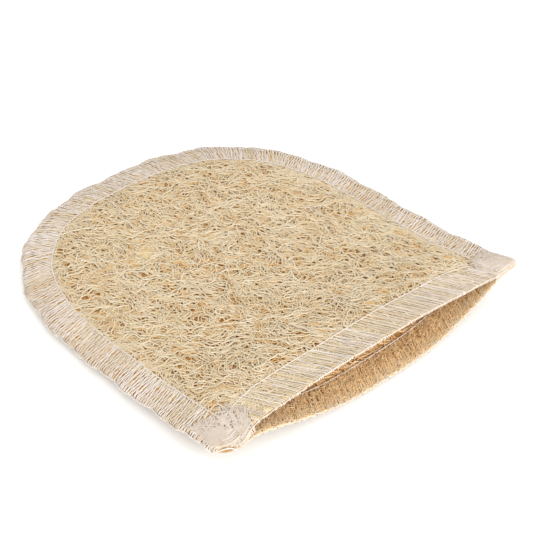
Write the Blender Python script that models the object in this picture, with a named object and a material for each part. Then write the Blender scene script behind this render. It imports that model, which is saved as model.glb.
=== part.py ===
"""Bath mitt of pressed loofah, open at its straight cuff for a hand.

Two loofah panels lie one on the other. Each has its straight cuff edge hemmed with overlock thread, and one
overlock seam joins the two round the sides and the dome. The mitt rests on the middle of its lower panel, and
its cuff corners curl up off the surface.

Units are metres and +Z is up. A place on the mitt is first given on the flat pattern: x across the mitt, c from
the cuff line towards the dome, and a height off the plane in which the two panels meet. The function formed()
then bends the pattern into the shape of the standing mitt.
"""

import math
import random

import bmesh
import bpy
from mathutils import Vector
from mathutils.geometry import delaunay_2d_cdt

MM = 0.001

# Flat pattern: straight sides from the cuff line, then a dome a little fuller than an ellipse
HALF_WIDTH = 75 * MM
LENGTH = 152 * MM
SIDE_LENGTH = 71 * MM
DOME_POWER = 2.49
CORNER_RADIUS = 5 * MM

# One pressed loofah panel: thin under the thread, swelling to full thickness past the stitch line
RIM_THICKNESS = 0.7 * MM
STITCH_LINE_THICKNESS = 1.5 * MM
PANEL_THICKNESS = 3.0 * MM
SWELL = 5 * MM

# Net of fibre strands raised on a panel's outer face, coarser than life
STRAND_SPACING = 8.0 * MM
STRAND_HALF_WIDTH = 0.8 * MM
MESH_DEPTHS = (0.7 * MM, 1.3 * MM)
STRAND_DIP = 0.4 * MM
QUAD_MESH_SHARE = 0.35
CROSSING_TRIES = 9000
CLOSEST_CROSSINGS = 0.86 * STRAND_SPACING
CLEAR_OF_THREAD = 0.55 * STRAND_SPACING

# Overlock thread: width of each band, thickness of the thread layer, and its ribs, coarser than life
SEAM_BAND = 11 * MM
HEM_BAND = 12.5 * MM
THREAD_SKIN = 0.4 * MM
THREAD_RIB = 0.4 * MM
INNER_RIB = 0.2 * MM
RIB_PITCH = 4.9 * MM
RIB_SLANT = 4.0 * MM
RIB_SHOULDER = 1.5 * MM
RIB_ROUNDING = 0.1 * MM
RIB_TOP_END = 0.35
RIB_EDGE = 0.08
EDGE_FULLNESS = 0.8

# Gap between pieces that touch, the room beyond a panel's edge inside its thread, and the spacing of the points
# along an edge
GAP = 0.35 * MM
EDGE_ROOM = 0.9 * MM
EDGE_INSET = EDGE_ROOM + GAP
EDGE_STATION = 5.6 * MM

# How the mitt stands open at the cuff
POCKET_EASE = 0.6 * MM
EASE_RUN = 8 * MM
HEM_ROOM = 0.8 * MM
HEM_ROOM_RUN = 25 * MM
LOWER_DROP = 5.9 * MM
UPPER_ARCH = 2.6 * MM
ARCH_RUN = 48 * MM
OPEN_LENGTH = 95 * MM
FORWARD_BOW = 6 * MM
BOW_LENGTH = 110 * MM

# Unevenness of hand sewing: waves of the edge in the plane and up and down, and puckers of the upper panel
SCALLOP = 0.45 * MM
SCALLOP_LENGTHS = (23 * MM, 19 * MM)
SCALLOP_PHASES = (1.1, 0.4)
RIPPLE = 0.35 * MM
RIPPLE_LENGTHS = (41 * MM, 34 * MM)
EDGE_RUN = 24 * MM
PUCKER = 0.5 * MM
PUCKER_LENGTHS = (52 * MM, 61 * MM)
PUCKER_PHASE = 0.6

# Round patches where the strands are pressed into a smooth mat, as (x, c)
LOWER_MAT = (0.0, 82 * MM)
UPPER_MAT = (-30 * MM, 92 * MM)
MAT_RADIUS = 8 * MM
MAT_CORNERS = 8

# Colour (linear) and roughness of the dry loofah and of the cotton thread
LOOFAH = ((0.651, 0.512, 0.328), 0.8)
THREAD = ((0.708, 0.604, 0.491), 0.7)

UPPER, LOWER = 1, -1
CENTRE_C = (LENGTH - FORWARD_BOW) / 2


def smoothstep(value):
    t = min(1.0, max(0.0, value))
    return t * t * (3 - 2 * t)


def fade(value):
    """1 at or below 0, then falling smoothly to 0 at 1."""
    return max(0.0, 1 - max(0.0, value)) ** 2


def inset_of(x, c):
    """Distance in from the rim of the flat pattern, exact on the sides and close to it round the dome."""
    if c <= SIDE_LENGTH:
        return HALF_WIDTH - abs(x)
    dome_height = LENGTH - SIDE_LENGTH
    across, along = abs(x) / HALF_WIDTH, (c - SIDE_LENGTH) / dome_height
    reach = (across**DOME_POWER + along**DOME_POWER) ** (1 / DOME_POWER)
    slope_x = (across / reach) ** (DOME_POWER - 1) / HALF_WIDTH
    slope_c = (along / reach) ** (DOME_POWER - 1) / dome_height
    return (1 - reach) / math.hypot(slope_x, slope_c)


def pressed(distance, band):
    """Thickness of a panel at a distance from an edge that carries a thread band."""
    if distance < band:
        return RIM_THICKNESS + (STITCH_LINE_THICKNESS - RIM_THICKNESS) * max(0.0, distance) / band
    swelling = 1 - math.exp(-(distance - band) / SWELL)
    return STITCH_LINE_THICKNESS + (PANEL_THICKNESS - STITCH_LINE_THICKNESS) * swelling


def thickness(x, c):
    return min(pressed(inset_of(x, c), SEAM_BAND), pressed(c, HEM_BAND))


def opening(c):
    """How far the cuff stands open at this distance from the cuff line, 1 at the line itself."""
    return fade(c / OPEN_LENGTH)


def hem_room(c):
    return HEM_ROOM * (1 - smoothstep((c - HEM_BAND - GAP) / HEM_ROOM_RUN))


def pucker(x, c):
    across = math.sin(math.tau * x / PUCKER_LENGTHS[0] + PUCKER_PHASE)
    return PUCKER * (1 + across * math.sin(math.tau * c / PUCKER_LENGTHS[1])) / 2


def half_gap(x, c, layer):
    """Distance from the plane of the seam to a panel's inner face."""
    inset = inset_of(x, c) - SEAM_BAND
    arch = smoothstep(inset / ARCH_RUN)
    height = GAP / 2 + hem_room(c) + POCKET_EASE * smoothstep(inset / EASE_RUN)
    if layer == LOWER:
        return height + LOWER_DROP * opening(c) * arch
    return height + (UPPER_ARCH * opening(c) + pucker(x, c)) * arch


def lift(c):
    """Height of the plane of the seam, with the middle of the lower panel flat on the surface."""
    return PANEL_THICKNESS + GAP / 2 + POCKET_EASE + hem_room(c) + LOWER_DROP * opening(c)


def formed(x, c, height, layer=UPPER):
    """The point of the standing mitt for a place on the flat pattern."""
    edge = fade(max(0.0, inset_of(x, c)) / EDGE_RUN)
    bow = FORWARD_BOW * max(0.0, 1 - (x / (HALF_WIDTH - SEAM_BAND)) ** 2) * fade(c / BOW_LENGTH)
    across = math.sin(math.tau * c / SCALLOP_LENGTHS[0] + math.copysign(SCALLOP_PHASES[0], x))
    along = math.sin(math.tau * x / SCALLOP_LENGTHS[1] + SCALLOP_PHASES[1]) * smoothstep(c / SIDE_LENGTH)
    ripple = math.sin(math.tau * c / RIPPLE_LENGTHS[0]) * math.cos(math.tau * x / RIPPLE_LENGTHS[1])
    y = c + SCALLOP * along * edge - CENTRE_C - (bow if layer == LOWER else 0)
    return Vector((x + SCALLOP * across * edge, y, height + lift(c) + RIPPLE * ripple * edge))


def on_panel(x, c, layer, out):
    """A point at a height `out` off the inner face of a panel, counted outwards."""
    return formed(x, c, layer * (half_gap(x, c, layer) + out), layer)


def dome_rim(angle):
    """Rim of the dome, from the left side at angle 0 over the top to the right side at pi."""
    side, up = -math.cos(angle), math.sin(angle)
    x = math.copysign(abs(side) ** (2 / DOME_POWER), side) * HALF_WIDTH
    return x, SIDE_LENGTH + (LENGTH - SIDE_LENGTH) * max(0.0, up) ** (2 / DOME_POWER)


def measured_rim():
    """The rim from the left cuff corner to the right one, as fine points with their distance along it."""
    steps = 720
    points = [(-HALF_WIDTH, 0.0)] + [dome_rim(math.pi * i / steps) for i in range(steps + 1)]
    points.append((HALF_WIDTH, 0.0))
    distances = [0.0]
    for a, b in zip(points, points[1:]):
        distances.append(distances[-1] + math.dist(a, b))
    return points, distances


RIM_POINTS, RIM_DISTANCES = measured_rim()
RIM_LENGTH = RIM_DISTANCES[-1]


def rim_at(distance):
    """The rim point at this distance along the rim."""
    distance = min(max(distance, 0.0), RIM_LENGTH)
    low, high = 0, len(RIM_DISTANCES) - 1
    while high - low > 1:
        middle = (low + high) // 2
        if RIM_DISTANCES[middle] <= distance:
            low = middle
        else:
            high = middle
    share = (distance - RIM_DISTANCES[low]) / (RIM_DISTANCES[high] - RIM_DISTANCES[low])
    a, b = Vector(RIM_POINTS[low]), Vector(RIM_POINTS[high])
    return a.lerp(b, share)


def seam_place(distance, inset):
    """The flat place that lies this far along the rim and this far in from it."""
    before, after = rim_at(distance - MM), rim_at(distance + MM)
    along = (after - before).normalized()
    place = rim_at(distance) + Vector((along.y, -along.x)) * inset
    return place.x, place.y


def spread(start, end, pitch):
    """Evenly spaced values from start to end, about a pitch apart."""
    count = round((end - start) / pitch)
    return [start + (end - start) * i / count for i in range(count + 1)]


SEAM_STATIONS = spread(HEM_BAND, RIM_LENGTH - HEM_BAND, EDGE_STATION)
HEM_STATIONS = spread(SEAM_BAND - HALF_WIDTH, HALF_WIDTH - SEAM_BAND, EDGE_STATION)
CORNER_CUT = CORNER_RADIUS + 1.5 * MM


def panel_outline():
    """Closed outline of a panel inside its thread, in order: the seam edge, then the cuff edge."""
    sides = [CORNER_CUT, *SEAM_STATIONS, RIM_LENGTH - CORNER_CUT]
    seam = [seam_place(s, EDGE_INSET) for s in sides]
    corner = HALF_WIDTH - CORNER_CUT
    cuff = [(x, EDGE_INSET) for x in [corner, *reversed(HEM_STATIONS), -corner]]
    return seam + cuff


def net_outline():
    """Closed outline of the part of a panel that the thread leaves bare."""
    seam = [seam_place(s, SEAM_BAND) for s in SEAM_STATIONS]
    return seam + [(x, HEM_BAND) for x in reversed(HEM_STATIONS[1:-1])]


def scattered_crossings(rng, mat):
    """Places where strands cross, spread evenly but at random over the bare part of a panel."""
    turns = [math.tau * i / MAT_CORNERS for i in range(MAT_CORNERS)]
    crossings = [mat]
    crossings += [(mat[0] + MAT_RADIUS * math.cos(a), mat[1] + MAT_RADIUS * math.sin(a)) for a in turns]
    for _ in range(CROSSING_TRIES):
        x = rng.uniform(-HALF_WIDTH, HALF_WIDTH)
        c = rng.uniform(HEM_BAND, LENGTH)
        if inset_of(x, c) < SEAM_BAND + CLEAR_OF_THREAD or c < HEM_BAND + CLEAR_OF_THREAD:
            continue
        if all(math.dist((x, c), other) > CLOSEST_CROSSINGS for other in crossings):
            crossings.append((x, c))
    return crossings


def ring(first, count):
    return [(first + i, first + (i + 1) % count) for i in range(count)]


def panel_plan(rng, mat):
    """The flat pattern of a panel cut into triangles, as places and corner numbers."""
    rim, net = panel_outline(), net_outline()
    places = [Vector(p) for p in rim + net + scattered_crossings(rng, mat)]
    edges = ring(0, len(rim)) + ring(len(rim), len(net))
    places, _, triangles, *_ = delaunay_2d_cdt(places, edges, [], 1, 1e-6)
    return [(p.x, p.y) for p in places], triangles


def is_bare(x, c):
    tolerance = 0.1 * MM
    return inset_of(x, c) > SEAM_BAND - tolerance and c > HEM_BAND - tolerance


def new_material(name, surface):
    colour, roughness = surface
    material = bpy.data.materials.new(name)
    material.use_nodes = True
    shader = material.node_tree.nodes["Principled BSDF"]
    shader.inputs["Base Color"].default_value = (*colour, 1.0)
    shader.inputs["Roughness"].default_value = roughness
    shader.inputs["Metallic"].default_value = 0.0
    material.diffuse_color = (*colour, 1.0)
    return material


def new_object(name, bm, surface):
    bmesh.ops.recalc_face_normals(bm, faces=bm.faces)
    bmesh.ops.triangulate(bm, faces=bm.faces)
    mesh = bpy.data.meshes.new(name)
    bm.to_mesh(mesh)
    bm.free()
    mesh.materials.append(new_material(f"{name}_surface", surface))
    bpy.context.scene.collection.objects.link(bpy.data.objects.new(name, mesh))


def would_be_convex(edge):
    """Whether the two triangles beside an edge make a four-sided opening without a hollow corner."""
    for end in edge.verts:
        turns = [loop.calc_angle() for face in edge.link_faces for loop in face.loops if loop.vert == end]
        if sum(turns) > math.radians(165):
            return False
    return True


def merge_some_meshes(bm, faces, rng):
    """Takes the strand out between some pairs of triangles, so that the net has four-sided openings too."""
    free = set(faces)
    merged = []
    for edge in sorted({e for f in faces for e in f.edges}, key=lambda e: e.index):
        pair = list(edge.link_faces)
        if not free.issuperset(pair) or rng.random() > QUAD_MESH_SHARE or not would_be_convex(edge):
            continue
        free -= set(pair)
        merged.append(bmesh.utils.face_join(pair))
    bm.normal_update()
    return [f for f in faces if f in free] + merged


def sink_openings(bm, faces, rng):
    """Sinks the middle of each opening of the net, which leaves the strands standing between them."""
    for face in faces:
        inner_radius = 2 * face.calc_area() / face.calc_perimeter()
        half_strand = min(STRAND_HALF_WIDTH * rng.uniform(0.75, 1.2), 0.5 * inner_radius)
        depth = rng.uniform(*MESH_DEPTHS) * min(1.0, inner_radius / STRAND_HALF_WIDTH)
        bmesh.ops.inset_individual(bm, faces=[face], thickness=half_strand, depth=-depth)


def loofah_panel(name, layer, seed, mat):
    """One pressed panel: a smooth inner face, a thin edge inside the thread, and the net on its outer face."""
    rng = random.Random(seed)
    places, triangles = panel_plan(rng, mat)
    bm = bmesh.new()
    in_mat = [math.dist(p, mat) < MAT_RADIUS + 0.1 * MM for p in places]
    outer, inner = [], []
    for (x, c), flat in zip(places, in_mat):
        crossing = inset_of(x, c) > SEAM_BAND + MM and c > HEM_BAND + MM
        dip = 0.0 if flat or not crossing else max(0.0, rng.uniform(-0.7, 1)) * STRAND_DIP
        outer.append(bm.verts.new(on_panel(x, c, layer, thickness(x, c) - dip)))
        inner.append(bm.verts.new(on_panel(x, c, layer, 0)))
    net = []
    sides = {}
    for corners in triangles:
        face = bm.faces.new([outer[i] for i in corners][::layer])
        bm.faces.new([inner[i] for i in corners][::-layer])
        for a, b in zip(corners, [*corners[1:], corners[0]]):
            sides[(a, b)] = True
        if all(is_bare(*places[i]) for i in corners) and not all(in_mat[i] for i in corners):
            net.append(face)
    for a, b in sides:
        if (b, a) not in sides:
            bm.faces.new([outer[b], outer[a], inner[a], inner[b]][::layer])
    bm.faces.index_update()
    bm.edges.index_update()
    sink_openings(bm, merge_some_meshes(bm, net, rng), rng)
    new_object(name, bm, LOOFAH)


def zipper(bm, first, second):
    """Joins two rows of points with triangles, each row given as (place along it, vertex)."""
    i = j = 0
    while i < len(first) - 1 or j < len(second) - 1:
        step_first = j == len(second) - 1 or (
            i < len(first) - 1 and first[i + 1][0] - first[0][0] <= second[j + 1][0] - second[0][0]
        )
        if step_first:
            bm.faces.new([first[i][1], first[i + 1][1], second[j][1]])
            i += 1
        else:
            bm.faces.new([first[i][1], second[j + 1][1], second[j][1]])
            j += 1


def grid(bm, rows):
    for a, b in zip(rows, rows[1:]):
        for i in range(len(a) - 1):
            bm.faces.new([a[i], a[i + 1], b[i + 1], b[i]])


def thread_sleeve(name, outside, inside, closed_ends):
    """A layer of thread wrapped round an edge.

    `outside` and `inside` are lists of (place along the edge, points of the section), each section running from
    one stitch line round the edge to the other. With closed ends the thread also covers the end of the edge.
    """
    bm = bmesh.new()
    outer = [(s, [bm.verts.new(p) for p in section]) for s, section in outside]
    inner = [(s, [bm.verts.new(p) for p in section]) for s, section in inside]
    grid(bm, [section for _, section in outer])
    grid(bm, [section for _, section in inner])
    for side in (0, -1):
        zipper(bm, [(s, section[side]) for s, section in outer], [(s, section[side]) for s, section in inner])
    for (_, around), (_, within) in ((outer[0], inner[0]), (outer[-1], inner[-1])):
        if closed_ends:
            bm.faces.new(around)
            bm.faces.new(within)
            bm.faces.new([around[0], within[0], within[-1], around[-1]])
        else:
            shares = [i / (len(around) - 1) for i in range(len(around))]
            inner_shares = [i / (len(within) - 1) for i in range(len(within))]
            zipper(bm, list(zip(shares, around)), list(zip(inner_shares, within)))
    new_object(name, bm, THREAD)


def rib(index):
    """The thread's ribs, high on every second station."""
    return index % 2


def corner_inset(distance):
    """How far the rounded cuff corners draw the rim of the seam in."""
    left = CORNER_RADIUS - min(distance, RIM_LENGTH - distance)
    return CORNER_RADIUS - math.sqrt(CORNER_RADIUS**2 - left**2) if left > 0 else 0.0


def slanted(distance, share):
    """Shifts a station along the rim, so that the ribs cross the band at a slant, but not at its ends."""
    free = min(1.0, distance / HEM_BAND, (RIM_LENGTH - distance) / HEM_BAND)
    return distance + RIB_SLANT * (share - 0.5) * free


def seam_outside(distance, ridge):
    """Section of the seam's outer skin at a station: upper stitch line, rim, lower stitch line."""
    skin = GAP + THREAD_SKIN
    above = skin + ridge * THREAD_RIB
    drawn = corner_inset(distance)
    steps = [
        (SEAM_BAND, skin),
        (SEAM_BAND - RIB_SHOULDER, above),
        (RIB_TOP_END * SEAM_BAND, above),
        (RIB_EDGE * SEAM_BAND, above - RIB_ROUNDING),
    ]
    upper, lower = [], []
    for inset, out in steps:
        inset = drawn + inset * (SEAM_BAND - drawn) / SEAM_BAND
        x, c = seam_place(slanted(distance, inset / SEAM_BAND), inset)
        height = half_gap(x, c, UPPER) + pressed(inset, SEAM_BAND) + out
        upper.append(formed(x, c, height))
        lower.append(formed(x, c, -height))
    x, c = seam_place(distance, drawn - ridge * THREAD_RIB / 2)
    edge = half_gap(x, c, UPPER) + EDGE_FULLNESS * RIM_THICKNESS
    return [*upper, formed(x, c, edge), formed(x, c, -edge), *reversed(lower)]


def seam_inside(distance):
    """Section of the seam's inner skin, a gap clear of both panels and cut off at the cuff corners."""
    from_corner = min(distance, RIM_LENGTH - distance)
    rim = max(EDGE_ROOM, CORNER_CUT - 0.2 * MM - from_corner)
    upper, lower = [], []
    for inset in (SEAM_BAND, (SEAM_BAND + rim) / 2, rim):
        x, c = seam_place(distance, inset)
        height = half_gap(x, c, UPPER) + pressed(inset, SEAM_BAND) + GAP
        upper.append(formed(x, c, height))
        lower.append(formed(x, c, -height))
    return [*upper, *reversed(lower)]


def edge_seam():
    """The overlock seam that joins both panels, closed over the ends at the cuff corners."""
    stations = spread(0, RIM_LENGTH, RIB_PITCH / 2)
    outside = [(s, seam_outside(s, rib(i))) for i, s in enumerate(stations)]
    ends = (EDGE_ROOM, CORNER_CUT)
    inner_stations = [*ends, *SEAM_STATIONS, *(RIM_LENGTH - s for s in reversed(ends))]
    inside = [(s, seam_inside(s)) for s in inner_stations]
    thread_sleeve("edge_seam", outside, inside, True)


def hem_outside(x, layer, ridge):
    """Section of a hem's outer skin: stitch line on the outer face, cuff edge, stitch line on the inner face."""
    limit = HALF_WIDTH - SEAM_BAND - GAP
    clear_of_ends = 1 - (x / limit) ** 2
    skin = GAP + THREAD_SKIN
    above = skin + ridge * THREAD_RIB
    below = skin + ridge * INNER_RIB * clear_of_ends
    faces = [
        (HEM_BAND, skin, skin),
        (HEM_BAND - RIB_SHOULDER, above, below),
        (RIB_TOP_END * HEM_BAND, above, below),
        (RIB_EDGE * HEM_BAND, above - RIB_ROUNDING, below),
    ]
    outer, inner = [], []
    for c, out, under in faces:
        shifted = x + RIB_SLANT * (c / HEM_BAND - 0.5) * clear_of_ends
        outer.append(on_panel(shifted, c, layer, pressed(c, HEM_BAND) + out))
        inner.append(on_panel(shifted, c, layer, -under))
    edge = on_panel(x, -ridge * THREAD_RIB / 2, layer, RIM_THICKNESS / 2)
    return [*outer, edge, *reversed(inner)]


def hem_inside(x, layer):
    """Section of a hem's inner skin, a gap clear of the panel's cuff edge."""
    steps = (HEM_BAND, 0.5 * HEM_BAND, EDGE_ROOM)
    outer = [on_panel(x, c, layer, pressed(c, HEM_BAND) + GAP) for c in steps]
    inner = [on_panel(x, c, layer, -GAP) for c in steps]
    return [*outer, *reversed(inner)]


def cuff_hem(name, layer):
    """Overlock hem on one panel's cuff edge, from seam to seam."""
    limit = HALF_WIDTH - SEAM_BAND - GAP
    stations = spread(-limit, limit, RIB_PITCH / 2)
    outside = [(x, hem_outside(x, layer, rib(i))) for i, x in enumerate(stations)]
    inner_stations = [-limit, *HEM_STATIONS[1:-1], limit]
    inside = [(x, hem_inside(x, layer)) for x in inner_stations]
    thread_sleeve(name, outside, inside, False)


def build():
    for old in list(bpy.data.objects):
        bpy.data.objects.remove(old)
    loofah_panel("upper_loofah_panel", UPPER, 11, UPPER_MAT)
    loofah_panel("lower_loofah_panel", LOWER, 23, LOWER_MAT)
    cuff_hem("upper_cuff_hem", UPPER)
    cuff_hem("lower_cuff_hem", LOWER)
    edge_seam()


build()
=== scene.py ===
"""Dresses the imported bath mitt: pressed loofah fibre on both panels and overlock thread round every edge.

A place on the mitt is given on its flat pattern: x across and c up from the cuff line, in metres. `out`
is a height off a panel's inner face, counted outwards. The form values are those of the part's own source.
"""

import math

import bpy
import numpy as np
from bpy.props import FloatProperty, FloatVectorProperty, IntProperty, PointerProperty
from bpy.types import Operator, Panel, PropertyGroup
from mathutils import Matrix


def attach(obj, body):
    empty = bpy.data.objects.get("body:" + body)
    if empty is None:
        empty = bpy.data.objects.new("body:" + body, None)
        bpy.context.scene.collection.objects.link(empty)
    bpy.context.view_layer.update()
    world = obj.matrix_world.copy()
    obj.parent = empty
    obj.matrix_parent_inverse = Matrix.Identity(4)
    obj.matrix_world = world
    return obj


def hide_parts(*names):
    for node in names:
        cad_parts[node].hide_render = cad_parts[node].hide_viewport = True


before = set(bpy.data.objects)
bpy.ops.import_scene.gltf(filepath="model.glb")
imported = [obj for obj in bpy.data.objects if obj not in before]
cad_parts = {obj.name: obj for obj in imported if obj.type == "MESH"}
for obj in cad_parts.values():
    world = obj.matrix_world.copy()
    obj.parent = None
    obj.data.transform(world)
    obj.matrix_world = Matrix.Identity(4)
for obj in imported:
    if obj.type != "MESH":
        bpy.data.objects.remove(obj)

bl_info = {
    "name": "Loofah bath mitt",
    "version": (1, 0, 0),
    "blender": (4, 5, 0),
    "location": "3D View > Sidebar > Loofah mitt",
    "description": "Loofah fibre and overlock thread on the packed form of a bath mitt",
    "category": "Object",
}

MM = 0.001
TAU = math.tau

# Flat pattern
HALF_WIDTH = 75 * MM
LENGTH = 152 * MM
SIDE_LENGTH = 71 * MM
DOME_HEIGHT = LENGTH - SIDE_LENGTH
DOME_POWER = 2.49
CORNER_RADIUS = 5 * MM

# Panel thickness
RIM_THICKNESS = 0.7 * MM
STITCH_LINE_THICKNESS = 1.5 * MM
PANEL_THICKNESS = 3.0 * MM
SWELL = 5 * MM
SEAM_BAND = 11 * MM
HEM_BAND = 12.5 * MM

# Standing shape
GAP = 0.35 * MM
POCKET_EASE = 0.6 * MM
EASE_RUN = 8 * MM
HEM_ROOM = 0.8 * MM
HEM_ROOM_RUN = 25 * MM
LOWER_DROP = 5.9 * MM
UPPER_ARCH = 2.6 * MM
ARCH_RUN = 48 * MM
OPEN_LENGTH = 95 * MM
FORWARD_BOW = 6 * MM
BOW_LENGTH = 110 * MM
SCALLOP = 0.45 * MM
SCALLOP_LENGTHS = (23 * MM, 19 * MM)
SCALLOP_PHASES = (1.1, 0.4)
RIPPLE = 0.35 * MM
RIPPLE_LENGTHS = (41 * MM, 34 * MM)
EDGE_RUN = 24 * MM
PUCKER = 0.5 * MM
PUCKER_LENGTHS = (52 * MM, 61 * MM)
PUCKER_PHASE = 0.6
CENTRE_C = (LENGTH - FORWARD_BOW) / 2
UPPER, LOWER = 1, -1

# Only on the dressed mitt: panels that lie on each other at the rim, and edges that thread has drawn in
TOUCH = 0.1 * MM
CORNER_CLOSING = 26 * MM
HEM_WIDTHS = {UPPER: (8 * MM, 13 * MM), LOWER: (8 * MM, 10.5 * MM)}
HEM_TAPER = 30 * MM
HEM_LIMIT = HALF_WIDTH - SEAM_BAND + 1.5 * MM
RIM_SCALLOP = 1.05 * MM
RIM_SCALLOP_LENGTH = 8.5 * MM
RIM_BUMP = 0.3 * MM
RIM_BUMP_LENGTH = 3.3 * MM
HEM_BUMP = 0.55 * MM
CORNER_RADII = {-1: CORNER_RADIUS, 1: 3 * MM}
CORNER_REACH = 16 * MM
LEFT_CORNER_X = -66 * MM
LEFT_CORNER_RUN = 6.5 * MM
RIGHT_CORNER_X = 57 * MM
RIGHT_CORNER_RUN = 18 * MM
LEFT_CORNER_BULGE = 2.2 * MM
LEFT_CORNER_SAG = 1.2 * MM
RIGHT_CORNER_CURL = 1.6 * MM
TACK_REACHES = {-1: 17 * MM, 1: 12.5 * MM}
DARKENED_X = -70.5 * MM
FLOOR_ROOM = 0.8 * MM
FLOOR_GIVE = 0.25

# Overlock passes: the share of their length that turns round the edge, the step within that turn, and how
# many steps they take over each face
SEAM_WRAP = 0.14
SEAM_TURN = 0.08
HEM_WRAP = 0.1
HEM_TURN = 0.05
CORNER_WRAP = 0.2
FACE_STEPS = 6
# The second leg of a seam stitch: its shift, as a share of the pitch, and its part of the slant
SECOND_LEG_SHIFT = 0.4
SECOND_LEG_SLANT = 0.35
SEAM_TONE = 0.75
HEM_TONE = 0.66
HEM_PITCH_SHARE = 0.62
# Where the upper hem's passes grow dense, over what run, and how many are kept before that
DENSE_FROM = -64 * MM
DENSE_RUN = 52 * MM
SPARSE_SHARE = 0.3
# Loose stitches inside the lower hem: their main direction, half lengths and tone
TANGLE_HEADING = math.radians(62)
TANGLE_REACHES = (0.8 * MM, 2.2 * MM)
TANGLE_TONE = 0.36
# Thread over the cuff corners: lengths of its passes, then heights and half lengths of its short stitches
CORNER_PASSES = (5 * MM, 10 * MM)
DARNED_HEIGHTS = (0.8 * MM, 13 * MM)
DARNED_REACHES = (1.2 * MM, 3 * MM)
CORNER_TONE = 0.53

# Felt under the fibres, with its tones from 0, brown, to 1, cream. Its brown is painted shade in the gaps
# between fibres and threads.
FELT_INSET = 0.9 * MM
FELT_CORNER = 6 * MM
FELT_RINGS = 30
FELT_STEPS_ROUND = 132
FELT_STEPS_ACROSS = 40
FELT_DEPTHS = (0.3 * MM, 0.98 * MM)
FELT_RISE = 0.72 * MM
INNER_FELT_DEPTHS = (0.05 * MM, 0.7 * MM)
BARE_FELT_TONES = {UPPER: 0.2, LOWER: 0.35}
PATCH_TONE = 0.72
SEAM_FELT_TONE = 0.32
HEM_FELT_TONE = 0.9
INNER_FELT_TONE = 0.43
MATTED_PATCHES = {UPPER: (-23.5 * MM, 99.5 * MM), LOWER: (0.0, 82 * MM)}
PATCH_RADIUS = 8 * MM

# How strands are drawn: number of sides, how far they wander off their path, and over what length
OUTER_STRANDS = (3, 0.6 * MM, 5 * MM)
INNER_STRANDS = (3, 0.4 * MM, 6 * MM)
PASS_STRANDS = (4, 0.4 * MM, 3 * MM)
SEAM_LINE_STRANDS = (4, 0.3 * MM, 3 * MM)
HEM_LINE_STRANDS = (4, 0.3 * MM, 4 * MM)
TANGLE_STRANDS = (3, 0.3 * MM, 2 * MM)
TACK_STRANDS = (4, 0.1 * MM, 2 * MM)

# Fibres
INSIDE_SEEN = 68 * MM
FIBRE_TAPER = 2.5 * MM
SHORTEST_STEPS = 3
HALF_LENGTHS = (2.5 * MM, 16 * MM)
CROSSING_TURN = 1.4
WIGGLE_LENGTHS = (5 * MM, 11 * MM)
WEAVE_LENGTHS = (5 * MM, 12 * MM)
# Levels on a panel's outer face: name, depth, tone, and the shortest and longest waves of their lay. The
# tone falls with depth as painted shade deep in the mat.
OUTER_LEVELS = (
    ("deep", 0.52 * MM, 0.53, (9 * MM, 30 * MM)),
    ("middle", 0.4 * MM, 0.66, (9 * MM, 30 * MM)),
    ("top", 0.26 * MM, 0.8, (10 * MM, 34 * MM)),
)
# A few loose fibres over the top level
LOOSE_FIBRES = {
    "pitch": 8 * MM,
    "margin": 12 * MM,
    "depth": 0.1 * MM,
    "dip": 0.7 * MM,
    "tone": 0.84,
    "crossing": 0.7,
}
# Levels on a panel's inner face: depth and tone. The deeper level's lower tone is painted shade.
INNER_LEVELS = ((0.45 * MM, 0.6), (0.2 * MM, 0.8))
INNER_WAVES = (18 * MM, 50 * MM)
# How far apart outer fibres start and how long their steps are. The lower panel only shows from underneath,
# so its fibres are fewer and plainer.
OUTER_SPACING = {UPPER: (2.6 * MM, 1.6 * MM), LOWER: (2.9 * MM, 2.2 * MM)}
# How far apart inner fibres start and how far in they reach. The upper panel's hardly show.
INNER_SPACING = {UPPER: (3.3 * MM, 0.6 * INSIDE_SEEN), LOWER: (2.9 * MM, INSIDE_SEEN)}
# The narrowest and widest fibres, as shares of the set width
OUTER_WIDTHS = (0.82, 1.2)
INNER_WIDTHS = (0.95, 1.4)
# Inner fibres stay within this share of the panel's thickness, also where the cuff edge is pressed thin
INNER_SHARE = 0.42
PATCH_SINK = 0.2 * MM
TONE_UNDER_SEAM = -0.08
TONE_UNDER_HEM = 0.1
# Random hollows: how many, their smallest and largest radius, and how far they keep from the rim
RANDOM_HOLLOWS = ((40, (0.6 * MM, 1.0 * MM), 15 * MM), (420, (0.25 * MM, 0.6 * MM), 12 * MM))

# How far a hollow pushes fibres away and how fast that fades, in radii, and how long it is for its width
HOLLOW_REACH = 7
HOLLOW_FADE = 1.5
HOLLOW_STRETCH = 1.7
HOLLOW_PUSH_ALONG = 0.35

# Deep hollows in the photo's upper panel, picked and put on the flat pattern with the fitted camera:
# x, c and radius in millimetres
SEEN_HOLLOWS = (
    (36.4, 70.0, 1.3),
    (46.4, 65.0, 0.8),
    (43.0, 53.0, 0.9),
    (36.3, 53.0, 0.9),
    (56.0, 92.3, 0.8),
    (7.2, 127.0, 0.8),
    (-18.1, 116.3, 0.7),
    (-14.4, 110.2, 0.9),
    (-30.9, 126.4, 0.8),
    (-31.8, 115.5, 0.8),
    (-44.4, 116.4, 0.8),
    (-37.0, 91.9, 0.8),
    (-52.6, 93.7, 0.8),
    (-56.2, 94.7, 0.9),
    (-31.9, 77.7, 1.3),
    (-31.6, 37.9, 1.2),
    (-41.1, 42.8, 0.9),
    (-25.7, 24.9, 0.8),
    (-46.2, 16.0, 1.1),
    (-48.1, 20.2, 0.8),
)


def smoothstep(value):
    t = np.clip(value, 0.0, 1.0)
    return t * t * (3 - 2 * t)


def fade(value):
    """1 at or below 0, then falling smoothly to 0 at 1."""
    return np.maximum(0.0, 1 - np.maximum(0.0, value)) ** 2


def mixed(low, high, share):
    return low + (high - low) * share


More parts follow.
